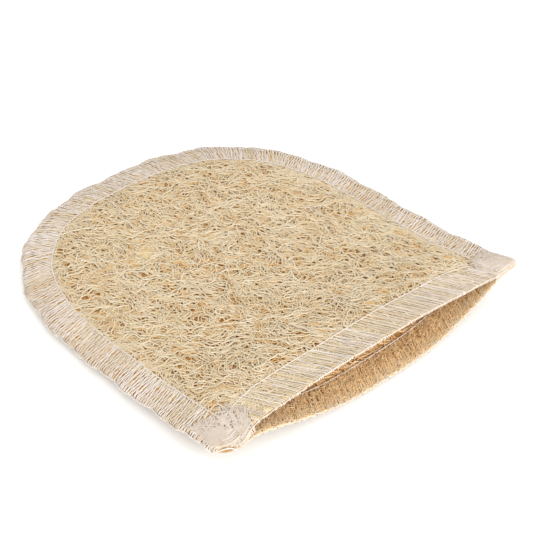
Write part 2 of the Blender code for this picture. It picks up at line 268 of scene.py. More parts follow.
def inset_of(x, c):
    """Distance in from the rim of the flat pattern."""
    across = np.abs(x) / HALF_WIDTH + 1e-9
    along = np.maximum(c - SIDE_LENGTH, 0.0) / DOME_HEIGHT
    reach = (across**DOME_POWER + along**DOME_POWER) ** (1 / DOME_POWER)
    slope_x = (across / reach) ** (DOME_POWER - 1) / HALF_WIDTH
    slope_c = (along / reach) ** (DOME_POWER - 1) / DOME_HEIGHT
    return (1 - reach) / np.hypot(slope_x, slope_c)


def pressed(distance, band):
    """Thickness of a panel at a distance from an edge that carries a thread band."""
    inside = RIM_THICKNESS + (STITCH_LINE_THICKNESS - RIM_THICKNESS) * np.maximum(0.0, distance) / band
    swelling = 1 - np.exp(-np.maximum(0.0, distance - band) / SWELL)
    beyond = STITCH_LINE_THICKNESS + (PANEL_THICKNESS - STITCH_LINE_THICKNESS) * swelling
    return np.where(distance < band, inside, beyond)


def thickness(x, c):
    return np.minimum(pressed(inset_of(x, c), SEAM_BAND), pressed(c, HEM_BAND))


def opening(c):
    """How far the cuff stands open at this distance from the cuff line, 1 at the line itself."""
    return fade(c / OPEN_LENGTH)


def hem_room(c):
    return HEM_ROOM * (1 - smoothstep((c - HEM_BAND - GAP) / HEM_ROOM_RUN))


def pucker(x, c):
    across = np.sin(TAU * x / PUCKER_LENGTHS[0] + PUCKER_PHASE)
    return PUCKER * (1 + across * np.sin(TAU * c / PUCKER_LENGTHS[1])) / 2


def half_gap(x, c, layer):
    """Distance from the plane of the seam to a panel's inner face."""
    rim_inset = inset_of(x, c)
    inset = rim_inset - SEAM_BAND
    arch = smoothstep(inset / ARCH_RUN)
    room = (GAP / 2 + hem_room(c) - TOUCH) * smoothstep(rim_inset / CORNER_CLOSING)
    height = TOUCH + room + POCKET_EASE * smoothstep(inset / EASE_RUN)
    if layer == LOWER:
        return height + LOWER_DROP * opening(c) * arch
    return height + (UPPER_ARCH * opening(c) + pucker(x, c)) * arch


def lift(c):
    """Height of the plane of the seam, with the middle of the lower panel flat on the surface."""
    return PANEL_THICKNESS + GAP / 2 + POCKET_EASE + hem_room(c) + LOWER_DROP * opening(c)


def corner_shares(x, c):
    """How far a place belongs to the left cuff corner, which sags, and to the right one, which curls up."""
    near = smoothstep(1 - c / CORNER_REACH)
    left = near * np.exp(-(((x - LEFT_CORNER_X) / LEFT_CORNER_RUN) ** 2))
    right = near * smoothstep((x - RIGHT_CORNER_X) / RIGHT_CORNER_RUN)
    return left, right


def formed(x, c, height, layer=UPPER):
    """Points of the standing mitt for places on the flat pattern."""
    edge = fade(np.maximum(0.0, inset_of(x, c)) / EDGE_RUN)
    hollow = np.maximum(0.0, 1 - (x / (HALF_WIDTH - SEAM_BAND)) ** 2)
    bow = FORWARD_BOW * hollow * fade(c / BOW_LENGTH)
    across = np.sin(TAU * c / SCALLOP_LENGTHS[0] + np.copysign(SCALLOP_PHASES[0], x))
    along = np.sin(TAU * x / SCALLOP_LENGTHS[1] + SCALLOP_PHASES[1]) * smoothstep(c / SIDE_LENGTH)
    ripple = np.sin(TAU * c / RIPPLE_LENGTHS[0]) * np.cos(TAU * x / RIPPLE_LENGTHS[1])
    left, right = corner_shares(x, c)
    y = c + SCALLOP * along * edge - CENTRE_C - (bow if layer == LOWER else 0.0) - LEFT_CORNER_BULGE * left
    z = height + lift(c) + RIPPLE * ripple * edge - LEFT_CORNER_SAG * left + RIGHT_CORNER_CURL * right
    # Strands under the mitt lie pressed on the surface, not sunk into it
    z = np.where(z < FLOOR_ROOM, mixed(FLOOR_ROOM, z, FLOOR_GIVE), z)
    return np.stack([x + SCALLOP * across * edge, y, z], axis=-1)


def on_panel(x, c, layer, out):
    """Points at a height `out` off the inner face of a panel, counted outwards."""
    return formed(x, c, layer * (half_gap(x, c, layer) + out), layer)


def measured_rim():
    """The rim from the left cuff corner over the dome to the right one, with the distance along it."""
    angle = np.linspace(0, math.pi, 721)
    side, up = -np.cos(angle), np.maximum(0.0, np.sin(angle))
    x = np.sign(side) * np.abs(side) ** (2 / DOME_POWER) * HALF_WIDTH
    c = SIDE_LENGTH + DOME_HEIGHT * up ** (2 / DOME_POWER)
    x = np.concatenate([[-HALF_WIDTH], x, [HALF_WIDTH]])
    c = np.concatenate([[0.0], c, [0.0]])
    return x, c, np.concatenate([[0.0], np.cumsum(np.hypot(np.diff(x), np.diff(c)))])


RIM_X, RIM_C, RIM_DISTANCES = measured_rim()
RIM_LENGTH = RIM_DISTANCES[-1]


def rim_at(distance):
    return np.interp(distance, RIM_DISTANCES, RIM_X), np.interp(distance, RIM_DISTANCES, RIM_C)


def seam_place(distance, inset):
    """The flat place that lies this far along the rim and this far in from it."""
    (x0, c0), (x1, c1), (x, c) = rim_at(distance - MM), rim_at(distance + MM), rim_at(distance)
    along = np.hypot(x1 - x0, c1 - c0)
    return x + (c1 - c0) / along * inset, c - (x1 - x0) / along * inset


def corner_inset(from_corner, radius):
    """How far a rounded cuff corner draws the rim in, at a distance from that corner."""
    left = np.maximum(0.0, radius - from_corner)
    return radius - np.sqrt(np.maximum(0.0, radius**2 - left**2))


def hem_width(x, layer):
    """Width of a cuff hem, which narrows towards the corners."""
    low, high = HEM_WIDTHS[layer]
    return mixed(low, high, smoothstep((HALF_WIDTH - np.abs(x)) / HEM_TAPER))


def matted_share(x, c, layer, reach=1.5):
    """1 in the middle of a panel's matted patch, falling to 0 at `reach` of its radii."""
    patch_x, patch_c = MATTED_PATCHES[layer]
    return fade(np.hypot(x - patch_x, c - patch_c) / (reach * PATCH_RADIUS))


def bare_share(x, c):
    """0 where the thread bands press a panel, and 1 where it has swollen to its full depth."""
    return smoothstep((thickness(x, c) - STITCH_LINE_THICKNESS) / (0.8 * MM))


# Nodes and meshes


def linear(code):
    """An sRGB hex colour as linear values."""
    parts = [int(code[i : i + 2], 16) / 255 for i in (1, 3, 5)]
    return tuple(p / 12.92 if p <= 0.04045 else ((p + 0.055) / 1.055) ** 2.4 for p in parts) + (1.0,)


def add(tree, kind, links=None, **settings):
    """Adds a node with its settings. `links` gives its inputs: a plain value or another node's output."""
    node = tree.nodes.new(kind)
    for name, value in settings.items():
        setattr(node, name, value)
    for name, value in (links or {}).items():
        if isinstance(value, bpy.types.NodeSocket):
            tree.links.new(value, node.inputs[name])
        else:
            node.inputs[name].default_value = value
    return node


def ramp(tree, share, places, colours):
    """A colour ramp with a colour at each place."""
    node = add(tree, "ShaderNodeValToRGB", {"Fac": share})
    while len(node.color_ramp.elements) < len(places):
        node.color_ramp.elements.new(0.5)
    for element, place, colour in zip(node.color_ramp.elements, places, colours):
        element.position = place
        element.color = colour
    return node.outputs["Color"]


def new_material(name):
    material = bpy.data.materials.new(name)
    material.use_nodes = True
    material.node_tree.nodes.clear()
    return material, material.node_tree


def new_mesh_object(name, points, edges=(), faces=(), **attributes):
    """A mesh object at the origin, with a float attribute on its points for each extra array."""
    mesh = bpy.data.meshes.new(name)
    mesh.from_pydata(np.asarray(points).tolist(), list(edges), list(faces))
    for key, values in attributes.items():
        layer = mesh.attributes.new(key, "FLOAT", "POINT")
        layer.data.foreach_set("value", np.asarray(values, dtype=np.float32))
    mesh.update()
    piece = bpy.data.objects.new(name, mesh)
    bpy.context.scene.collection.objects.link(piece)
    return piece


def place_piece(piece, node):
    """Puts a finished piece in the place of a CAD node."""
    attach(piece, "root")
    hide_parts(node)


# Paths and the strands that follow them


class Paths:
    """Open paths of any length: their points, with a width and a tone at each point."""

    def __init__(self):
        self.points, self.widths, self.tones, self.edges = [], [], [], []
        self.count = 0

    def extend(self, points, widths, tones, kept=None):
        """Adds paths from points of (path, step), leaving out those that aren't kept."""
        shape = points.shape[:2]
        kept = np.ones(shape, bool) if kept is None else kept
        index = np.where(kept, np.cumsum(kept).reshape(shape) - 1 + self.count, -1)
        joined = kept[:, 1:] & kept[:, :-1]
        self.edges.append(np.stack([index[:, :-1][joined], index[:, 1:][joined]], axis=-1))
        self.points.append(points[kept])
        self.widths.append(np.broadcast_to(widths, shape)[kept])
        self.tones.append(np.broadcast_to(tones, shape)[kept])
        self.count += int(kept.sum())

    def to_object(self, name):
        points, edges = np.concatenate(self.points), np.concatenate(self.edges).tolist()
        widths, tones = np.concatenate(self.widths), np.concatenate(self.tones)
        return new_mesh_object(name, points, edges=edges, width=widths, tone=tones)


def strand_tree():
    """Geometry Nodes that turn paths into round strands which wander a little off their path."""
    tree = bpy.data.node_groups.new("strands_along_paths", "GeometryNodeTree")
    inputs = {"Geometry": "Geometry", "Sides": "Int", "Wander": "Float", "Wander Length": "Float"}
    for name, kind in {**inputs, "Seed": "Int", "Material": "Material"}.items():
        tree.interface.new_socket(name, in_out="INPUT", socket_type="NodeSocket" + kind)
    tree.interface.new_socket("Geometry", in_out="OUTPUT", socket_type="NodeSocketGeometry")
    given = add(tree, "NodeGroupInput").outputs
    curves = add(tree, "GeometryNodeMeshToCurve", {"Mesh": given["Geometry"]}).outputs[0]
    place = add(tree, "GeometryNodeInputPosition").outputs[0]
    scale = add(tree, "ShaderNodeMath", {0: 1.0, 1: given["Wander Length"]}, operation="DIVIDE").outputs[0]
    lay = {"Vector": place, "W": given["Seed"], "Scale": scale, "Detail": 1.0}
    noise = add(tree, "ShaderNodeTexNoise", lay, noise_dimensions="4D").outputs["Color"]
    middle = {0: noise, 1: (0.5, 0.5, 0.5)}
    centred = add(tree, "ShaderNodeVectorMath", middle, operation="SUBTRACT").outputs[0]
    drift = {0: centred, "Scale": given["Wander"]}
    offset = add(tree, "ShaderNodeVectorMath", drift, operation="SCALE").outputs[0]
    moved = add(tree, "GeometryNodeSetPosition", {"Geometry": curves, "Offset": offset}).outputs[0]
    width = add(tree, "GeometryNodeInputNamedAttribute", {"Name": "width"}, data_type="FLOAT").outputs[0]
    half = add(tree, "ShaderNodeMath", {0: width, 1: 0.5}, operation="MULTIPLY").outputs[0]
    circle = {"Resolution": given["Sides"], "Radius": 1.0}
    profile = add(tree, "GeometryNodeCurvePrimitiveCircle", circle).outputs[0]
    tube = {"Curve": moved, "Profile Curve": profile, "Scale": half, "Fill Caps": True}
    made = add(tree, "GeometryNodeCurveToMesh", tube).outputs[0]
    smooth = add(tree, "GeometryNodeSetShadeSmooth", {"Geometry": made}).outputs[0]
    real = add(tree, "GeometryNodeRealizeInstances", {"Geometry": smooth}).outputs[0]
    coat = {"Geometry": real, "Material": given["Material"]}
    coated = add(tree, "GeometryNodeSetMaterial", coat).outputs[0]
    add(tree, "NodeGroupOutput", {"Geometry": coated})
    return tree


def made_strands(name, paths, material, drawn, seed):
    """Runs the strand tree on paths and leaves one plain mesh object. `drawn` is a *_STRANDS value."""
    tree = bpy.data.node_groups.get("strands_along_paths") or strand_tree()
    source = paths.to_object(name + "_paths")
    modifier = source.modifiers.new("strands", "NODES")
    modifier.node_group = tree
    given = dict(zip(("Sides", "Wander", "Wander Length"), drawn), Seed=seed, Material=material)
    for item in tree.interface.items_tree:
        if item.in_out == "INPUT" and item.name in given:
            modifier[item.identifier] = given[item.name]
    bpy.context.view_layer.update()
    graph = bpy.context.evaluated_depsgraph_get()
    mesh = bpy.data.meshes.new_from_object(source.evaluated_get(graph))
    if not mesh.polygons:
        raise RuntimeError(name + " came out without faces")
    mesh.name = name
    piece = bpy.data.objects.new(name, mesh)
    bpy.context.scene.collection.objects.link(piece)
    old = source.data
    bpy.data.objects.remove(source)
    bpy.data.meshes.remove(old)
    return piece


# Loofah fibres


def wavy_field(rng, lengths, turn, waves=9):
    """A smooth field of turns: random waves of these lengths, with this spread in radians."""
    size = TAU / rng.uniform(*lengths, waves)
    heading = rng.uniform(0, TAU, waves)
    return size * np.cos(heading), size * np.sin(heading), rng.uniform(0, TAU, waves), turn


def turned(field, x, c):
    kx, kc, phase, turn = field
    angle = x[..., None] * kx + c[..., None] * kc + phase
    return turn * np.sin(angle).sum(axis=-1) * math.sqrt(2 / len(kx))


def scattered(rng, pitch, margin, reach=LENGTH):
    """Places on the pattern about a pitch apart, inside the margin and up to a reach from the cuff."""
    across = np.arange(-HALF_WIDTH, HALF_WIDTH, pitch)
    along = np.arange(0, reach, pitch)
    x, c = (g.ravel() for g in np.meshgrid(across, along))
    x = x + rng.uniform(-0.5, 0.5, x.shape) * pitch
    c = c + rng.uniform(-0.5, 0.5, c.shape) * pitch
    kept = (inset_of(x, c) > margin) & (c > margin)
    return x[kept], c[kept]


def hollows(rng, count, radii, margin):
    """About this many random hollows that the fibres part around: x, c and radius."""
    x, c = scattered(rng, math.sqrt(HALF_WIDTH * 2 * LENGTH * 0.9 / count), margin)
    return x, c, mixed(radii[0], radii[1], rng.random(x.shape) ** 2)


def parted(x, c, eyes, heading):
    """Moves places out of the hollows. Each hollow is longer along the fibres than across them."""
    along, across = np.cos(heading), np.sin(heading)
    for ex, ec, radius in zip(*eyes):
        near = (np.abs(x - ex) < HOLLOW_REACH * radius) & (np.abs(c - ec) < HOLLOW_REACH * radius)
        if not near.any():
            continue
        dx, dc = x[near] - ex, c[near] - ec
        u, v = dx * along + dc * across, -dx * across + dc * along
        reach = np.hypot(u / HOLLOW_STRETCH, v) + 1e-7
        push = radius * np.exp(-reach / (HOLLOW_FADE * radius)) / reach
        u, v = u * (1 + push * HOLLOW_PUSH_ALONG), v * (1 + push)
        x[near] = ex + u * along - v * across
        c[near] = ec + u * across + v * along
    return x, c


def walked(x, c, way, half, heading, plan):
    """Steps along fibres one way from their middles: rows of x, c, distance along and a kept flag."""
    alive = np.ones(len(x), bool)
    rows = []
    for i in range(1, int(np.ceil(half.max() / plan["step"])) + 1):
        run = way * i * plan["step"]
        angle = heading(x, c, run)
        x = x + way * plan["step"] * np.cos(angle)
        c = c + way * plan["step"] * np.sin(angle)
        alive = alive & (i * plan["step"] <= half)
        alive = alive & (inset_of(x, c) > plan["edge"]) & (c > plan["edge"])
        rows.append((x, c, np.full(len(x), run), alive))
    return rows


def grown(rng, plan):
    """Grows fibres both ways from scattered places: x, c, distance along and a kept flag."""
    x, c = scattered(rng, plan["pitch"], plan["margin"], plan["reach"])
    count = len(x)
    half = np.clip(rng.lognormal(math.log(plan["length"] / 2), 0.45, count), *HALF_LENGTHS)
    own = rng.normal(0, plan["stray"], count)
    crossing = rng.random(count) < plan["crossing"]
    own = np.where(crossing, rng.uniform(-CROSSING_TURN, CROSSING_TURN, count), own)
    bend = rng.normal(0, plan["bend"], count)
    wave = rng.uniform(*WIGGLE_LENGTHS, count)
    phase = rng.uniform(0, TAU, count)

    def heading(at_x, at_c, run):
        wiggle = plan["wiggle"] * np.sin(TAU * run / wave + phase)
        return plan["heading"] + turned(plan["field"], at_x, at_c) + own + bend * run + wiggle

    back, ahead = (walked(x, c, way, half, heading, plan) for way in (-1, 1))
    rows = [*reversed(back), (x, c, np.zeros(count), np.ones(count, bool)), *ahead]
    return tuple(np.stack([row[i] for row in rows], axis=1) for i in range(4))


def add_fibres(paths, rng, layer, plan):
    """Adds one level of fibres to the paths of a panel's outer or inner face."""
    x, c, run, kept = grown(rng, plan)
    x, c = parted(x, c, plan["eyes"], plan["heading"])
    count = len(x)
    first = kept.argmax(axis=1)[:, None]
    last = kept.shape[1] - 1 - kept[:, ::-1].argmax(axis=1)[:, None]
    step = np.arange(kept.shape[1])[None, :]
    ending = np.clip(np.minimum(step - first, last - step) * plan["step"] / FIBRE_TAPER, 0, 1)
    kept = kept & (last - first >= SHORTEST_STEPS)
    weave_length = rng.uniform(*WEAVE_LENGTHS, (count, 1))
    weave = plan["weave"] * np.sin(TAU * run / weave_length + rng.uniform(0, TAU, (count, 1)))
    depth = plan["depth"] + rng.uniform(-0.12, 0.12, (count, 1)) * MM + plan["dip"] * (1 - ending) ** 2
    if plan["outer"]:
        matted, loose = matted_share(x, c, layer, 1.6), bare_share(x, c)
        level = (depth - weave * (1 - matted)) * mixed(0.3, 1.0, loose)
        out = thickness(x, c) - level - PATCH_SINK * matted
        shift = np.where(inset_of(x, c) < SEAM_BAND, TONE_UNDER_SEAM, TONE_UNDER_HEM) * (1 - loose)
    else:
        out = np.minimum(depth + weave, INNER_SHARE * thickness(x, c))
        shift = 0.0
    width = rng.uniform(*plan["widths"], (count, 1)) * (0.75 + 0.25 * ending)
    tone = rng.normal(plan["tone"], plan["tone_spread"], (count, 1)) + shift
    paths.extend(on_panel(x, c, layer, out), width, np.clip(tone, 0, 1), kept)


def fibre_plan(rng, outer, **changes):
    """The values that one level of fibres starts from."""
    plan = {
        "outer": outer,
        "margin": 1.5 * MM,
        "reach": LENGTH,
        "edge": 1.0 * MM,
        "stray": 0.42,
        "crossing": 0.28,
        "bend": 25.0,
        "wiggle": 0.5,
        "heading": math.radians(-78),
        # Each level brings its own field. This one is still drawn, so that the later draws stay the same.
        "field": wavy_field(rng, (22 * MM, 60 * MM), 0.45),
        "eyes": ((), (), ()),
        "weave": 0.22 * MM,
        "dip": 0.5 * MM,
        "tone_spread": 0.08,
    }
    plan.update(changes)
    return plan


# Materials


def varied_tone(tree, noise, span, amount):
    """The tone attribute, shifted by up to an amount as the noise goes over a span round its middle."""
    tone = add(tree, "ShaderNodeAttribute", attribute_name="tone").outputs["Fac"]
    spans = {"From Min": 0.5 - span, "From Max": 0.5 + span, "To Min": -amount, "To Max": amount}
    shift = add(tree, "ShaderNodeMapRange", {"Value": noise, **spans}).outputs[0]
    return add(tree, "ShaderNodeMath", {0: tone, 1: shift}, operation="ADD", use_clamp=True).outputs[0]


def noise_at(tree, place, scale, detail, **more):
    """A noise over places in metres, with about `scale` blotches to the metre."""
    values = {"Vector": place, "Scale": scale, "Detail": detail, **more}
    return add(tree, "ShaderNodeTexNoise", values).outputs["Fac"]


def end_material(tree, colour, relief, surface):
    """The last nodes of a material. `relief` is a noise, its strength and its depth in metres."""
    height, strength, depth = relief
    bump = add(tree, "ShaderNodeBump", {"Height": height, "Strength": strength, "Distance": depth})
    values = {"Base Color": colour, "IOR": 1.5, "Normal": bump.outputs[0], **surface}
    shader = add(tree, "ShaderNodeBsdfPrincipled", values)
    add(tree, "ShaderNodeOutputMaterial", {"Surface": shader.outputs[0]})


def loofah_fibre_material(name, colours):
    """Dry loofah fibre, pressed: matt straw strands that go from brown deep in the mat to cream on top; the
    brown is painted shade.
    """
    material, tree = new_material(name)
    place = add(tree, "ShaderNodeTexCoord").outputs["Object"]
    # Blotches about 9 mm across, where the sponge was more or less bleached
    blotch = noise_at(tree, place, 110.0, 3.0)
    colour = ramp(tree, varied_tone(tree, blotch, 0.2, 0.07), (0.0, 0.35, 0.65, 1.0), colours)
    # Fine ridges of the fibre's own cells, drawn at 0.35 mm because the real 0.05 mm can't show
    grain = noise_at(tree, place, 2800.0, 2.0)
    end_material(tree, colour, (grain, 0.35, 0.1 * MM), {"Roughness": 0.72, "Specular IOR Level": 0.3})
    return material


def loofah_felt_material(colours):
    """The felted depth of a loofah panel, seen between the fibres: crushed strands, coloured brown as
    painted shade in the gaps.
    """
    material, tree = new_material("loofah_felt_and_gap_shade")
    place = add(tree, "ShaderNodeTexCoord").outputs["Object"]
    stretch = {"Vector": place, "Rotation": (0.0, 0.0, math.radians(12)), "Scale": (1.0, 0.16, 1.0)}
    stretched = add(tree, "ShaderNodeMapping", stretch).outputs[0]
    # Crushed strands 0.5 mm wide and about 3 mm long
    streak = noise_at(tree, stretched, 1900.0, 2.0, Distortion=0.6)
    colour = ramp(tree, varied_tone(tree, streak, 0.15, 0.2), (0.0, 0.4, 0.7, 1.0), colours)
    end_material(tree, colour, (streak, 0.8, 0.3 * MM), {"Roughness": 0.85, "Specular IOR Level": 0.2})
    return material


def cotton_thread_material(name, colours):
    """Spun cotton overlock thread, undyed: matt and off-white, with a soft sheen of loose hairs."""
    if name in bpy.data.materials:
        return bpy.data.materials[name]
    material, tree = new_material(name)
    place = add(tree, "ShaderNodeTexCoord").outputs["Object"]
    # Slubs about 2 mm long, where the thread took up dust and oil from the machine
    slub = noise_at(tree, place, 480.0, 2.0)
    colour = ramp(tree, varied_tone(tree, slub, 0.2, 0.1), (0.0, 0.5, 1.0), colours)
    # The twist of the plies, drawn at 0.3 mm
    twist = noise_at(tree, place, 3300.0, 1.0)
    surface = {"Roughness": 0.85, "Specular IOR Level": 0.25, "Sheen Weight": 0.15, "Sheen Roughness": 0.5}
    end_material(tree, colour, (twist, 0.4, 0.1 * MM), surface)
    return material


def clean_thread(settings):
    """The thread of the seam and of both hems."""
    return cotton_thread_material("spun_cotton_thread", [settings.shade, settings.ecru, settings.white])


# Settings


def length_property(name, description, value):
    return FloatProperty(name=name, description=description, default=value, unit="LENGTH")


def angle_property(name, description, degrees):
    return FloatProperty(name=name, description=description, default=math.radians(degrees), subtype="ANGLE")


def colour_property(name, description, code):
    return FloatVectorProperty(
        name=name, description=description, default=linear(code), subtype="COLOR", size=4
    )


class PanelSettings(PropertyGroup):
    fibre_width: length_property("Fibre width", "Middle width of a loofah fibre", 0.51 * MM)
    fibre_length: length_property("Fibre length", "Middle length of a loofah fibre", 11.5 * MM)
    seed: IntProperty(name="Seed", description="Starts the random lay of the fibres", default=7)
    # Hollow and tan, the colours of low tones, are painted shade deep in the mat and in the gaps between
    # fibres.
    hollow: colour_property("Hollow", "Colour deep in the mat", "#8C5420")
    tan: colour_property("Tan", "Colour of buried fibres", "#C59552")
    felt: colour_property("Felt", "Colour of the smooth matted patch", "#BFAF82")
    straw: colour_property("Straw", "Colour of most fibres", "#CBB896")
    cream: colour_property("Cream", "Colour of the palest fibres", "#D3C5AD")
    # Painted light: the colours inside the pocket are paler and warmer than those outside, standing in for
    # warm light bouncing round the pocket.
    pocket_lit_hollow: colour_property("Raw hollow", "Colour between the fibres inside the pocket", "#DC9C52")
    pocket_lit_tan: colour_property("Raw tan", "Colour of the darkest fibres inside", "#F4C88C")
    pocket_lit_straw: colour_property("Raw straw", "Colour of most fibres inside", "#F8D09A")
    pocket_lit_cream: colour_property("Raw cream", "Colour of the palest fibres inside", "#FAE0B6")


class ThreadSettings(PropertyGroup):
    thread_width: length_property("Thread width", "Width of the overlock thread", 0.42 * MM)
    stitch_pitch: length_property("Stitch pitch", "Distance from one stitch to the next", 1.2 * MM)
    slant: length_property("Slant", "Shift of a stitch along the edge, over its band", 4.6 * MM)
    seed: IntProperty(name="Seed", description="Starts the small random shifts of the stitches", default=3)
    # The next four colours, for threads inside the mitt, are painted shade with warm bounce light inside
    # the pocket.
    shade: colour_property("Shade", "Colour of threads inside the mitt", "#EFCB96")
    pocket_shade_dark: colour_property("Dust", "Colour of the dustiest threads inside the mitt", "#C89456")
    pocket_shade_mid: colour_property("Tanned", "Colour of most threads inside the mitt", "#D4B080")
    pocket_shade_pale: colour_property("Worn", "Colour of the cleanest threads inside the mitt", "#E6C799")
    # This brown darkens the corner thread towards the rim, most at one spot near the left tip.
    corner_rim_brown: colour_property("Grimy", "Colour of the rubbed thread round the corners' rim", "#A8814F")
    # This grey is partly the corner thread's own greyer colour, partly painted shade that tones down the
    # strongly lit corners.
    matted: colour_property("Matted", "Colour of the felted thread over the corners", "#BFB2A3")
    ecru: colour_property("Ecru", "Colour of stained thread", "#C3B299")
    white: colour_property("White", "Colour of clean thread", "#D4CCC6")


class StageSettings(PropertyGroup):
    azimuth: angle_property("Azimuth", "Camera angle round the mitt", -42.08)
    elevation: angle_property("Elevation", "Camera angle above the floor", 38.02)
    roll: angle_property("Roll", "Tilt of the camera to its right", 1.0)
    distance: length_property("Distance", "From the camera to the mitt", 585.6 * MM)
    floor: colour_property("Floor", "Colour of the floor", "#F7F6F4")


# Pieces


def sheet_outline():
    """The flat outline of a felt sheet, a little inside its panel's rim and without the cuff corners."""
    distance = np.linspace(FELT_CORNER, RIM_LENGTH - FELT_CORNER, FELT_STEPS_ROUND)
    x, c = seam_place(distance, FELT_INSET)
    cuff_x = np.linspace(HALF_WIDTH - FELT_CORNER, FELT_CORNER - HALF_WIDTH, FELT_STEPS_ACROSS)
    return np.concatenate([x, cuff_x]), np.concatenate([c, np.full(len(cuff_x), FELT_INSET)])


def sheet_faces(count, layer):
    """The faces of a closed sheet, whose two sides are rings of points round one in the middle."""
    total = FELT_RINGS * count + 1
    faces = []
    for base in (0, total):
        kept = (base == 0) == (layer == LOWER)
        for ring in range(FELT_RINGS):
            for i in range(count):
                a = base + ring * count + i
                b = base + ring * count + (i + 1) % count
                face = (a, b, base + total - 1) if ring == FELT_RINGS - 1 else (a, b, b + count, a + count)
                faces.append(face if kept else face[::-1])
    for i in range(count):
        j = (i + 1) % count
        face = (i, j, total + j, total + i)
        faces.append(face if layer == UPPER else face[::-1])
    return faces


def felt_tones(x, c, layer):
    """Tones of a sheet's outer side: pale under a hem and where it is matted, and elsewhere brown, which is
    painted shade in the gaps between fibres.
    """
    bare = mixed(BARE_FELT_TONES[layer], PATCH_TONE, np.minimum(1.0, 5 * matted_share(x, c, layer)))
    banded = np.where(inset_of(x, c) < SEAM_BAND, SEAM_FELT_TONE, HEM_FELT_TONE)
    from_band = np.minimum(inset_of(x, c) - SEAM_BAND, c - hem_width(x, layer))
    return mixed(banded, bare, smoothstep((from_band + 1 * MM) / (2 * MM)))


def felt_sheet(name, layer, material):
    """The crushed body of a panel, a little below the strands on both faces."""
    edge_x, edge_c = sheet_outline()
    share = np.linspace(1, 0, FELT_RINGS + 1)[:-1, None] ** 0.8
    x = np.append((edge_x * share).ravel(), 0.0)
    c = np.append((CENTRE_C + (edge_c - CENTRE_C) * share).ravel(), CENTRE_C)
    deep = thickness(x, c)
    outer = deep - mixed(*FELT_DEPTHS, bare_share(x, c)) + FELT_RISE * matted_share(x, c, layer)
    inner = mixed(*INNER_FELT_DEPTHS, smoothstep((deep - RIM_THICKNESS) / (1.6 * MM)))
    points = np.concatenate([on_panel(x, c, layer, out) for out in (outer, inner)])
    tones = np.concatenate([felt_tones(x, c, layer), np.full(x.shape, INNER_FELT_TONE)])
    piece = new_mesh_object(name, points, faces=sheet_faces(len(edge_x), layer), tone=tones)
    piece.data.materials.append(material)
    piece.data.polygons.foreach_set("use_smooth", [True] * len(piece.data.polygons))
    return piece


def panel_eyes(rng, layer):
    """The hollows of a panel's outer face: those seen in the photo, and many small ones."""
    sets = [hollows(rng, *values) for values in RANDOM_HOLLOWS]
    if layer == UPPER:
        sets.append(tuple(np.array(values) * MM for values in zip(*SEEN_HOLLOWS)))
    return tuple(np.concatenate(values) for values in zip(*sets))


def outer_fibres(name, layer, settings, rng, eyes, fibre):
    """The levels of fibre on a panel's outer face, from the deepest up."""
    widths = [settings.fibre_width * share for share in OUTER_WIDTHS]
    pitch, step = OUTER_SPACING[layer]
    shared = {"length": settings.fibre_length, "eyes": eyes, "widths": widths, "step": step}
    for level, depth, tone, waves in OUTER_LEVELS:
        paths = Paths()
        shared["field"] = wavy_field(rng, waves, 0.7)
        add_fibres(paths, rng, layer, fibre_plan(rng, True, pitch=pitch, depth=depth, tone=tone, **shared))
        if level == "top":
            add_fibres(paths, rng, layer, fibre_plan(rng, True, **LOOSE_FIBRES, **shared))
        yield made_strands(name + "_" + level + "_fibres", paths, fibre, OUTER_STRANDS, len(level))


def inner_fibres(name, layer, settings, rng, fibre):
    """The fibres of a panel's inner face, as far in as the open cuff lets the eye see."""
    widths = [settings.fibre_width * share for share in INNER_WIDTHS]
    pitch, reach = INNER_SPACING[layer]
    shared = {"length": settings.fibre_length, "pitch": pitch, "reach": reach, "widths": widths}
    shared |= {"step": 2.2 * MM, "dip": 0.3 * MM, "weave": 0.12 * MM}
    paths = Paths()
    for depth, tone in INNER_LEVELS:
        field = wavy_field(rng, INNER_WAVES, 0.6)
        add_fibres(paths, rng, layer, fibre_plan(rng, False, depth=depth, tone=tone, field=field, **shared))
    yield made_strands(name + "_inside_fibres", paths, fibre, INNER_STRANDS, 4)


def panel_pieces(name, layer, settings, materials):
    """The felt and the levels of fibre of one panel."""
    felt, fibre, pocket_lit = materials
    rng = np.random.default_rng(settings.seed + (0 if layer == UPPER else 50))
    eyes = panel_eyes(rng, layer)
    yield felt_sheet(name + "_felt", layer, felt)
    yield from outer_fibres(name, layer, settings, rng, eyes, fibre)
    # The inner fibres take the pocket's paler, warmer colours, which are painted bounce light.
    yield from inner_fibres(name, layer, settings, rng, pocket_lit)


def scallops(distance, length, drift=0.0):
    """Small round bumps of this length along an edge, from -0.6 in the notches to 0.4 on top."""
    return np.sqrt(np.abs(np.sin(math.pi * distance / length + drift))) - 0.6


def rim_bumps(distance):
    """How far the thread bulges out along the rim: scallops, with a small bump for each few stitches."""
    drift = 0.8 * np.sin(distance / (13 * MM))
    large = RIM_SCALLOP * scallops(distance, RIM_SCALLOP_LENGTH, drift)
    return large + RIM_BUMP * scallops(distance, RIM_BUMP_LENGTH)


def wrapped(share, wrap):
    """A pass's angle round the edge, how far it has run over a face, and whether it is on its turn."""
    run = np.clip((np.abs(share) - wrap) / (1 - wrap), 0, 1)
    return np.clip(share / wrap, -1, 1) * math.pi / 2, run, np.abs(share) < wrap


def pass_shares(wrap, turn):
    """Shares along a pass, from -1 to 1: wide steps over the faces and close ones round the edge."""
    face = np.linspace(1, wrap, FACE_STEPS)
    return np.concatenate([-face, [-turn, 0.0, turn], face[::-1]])[None, :]


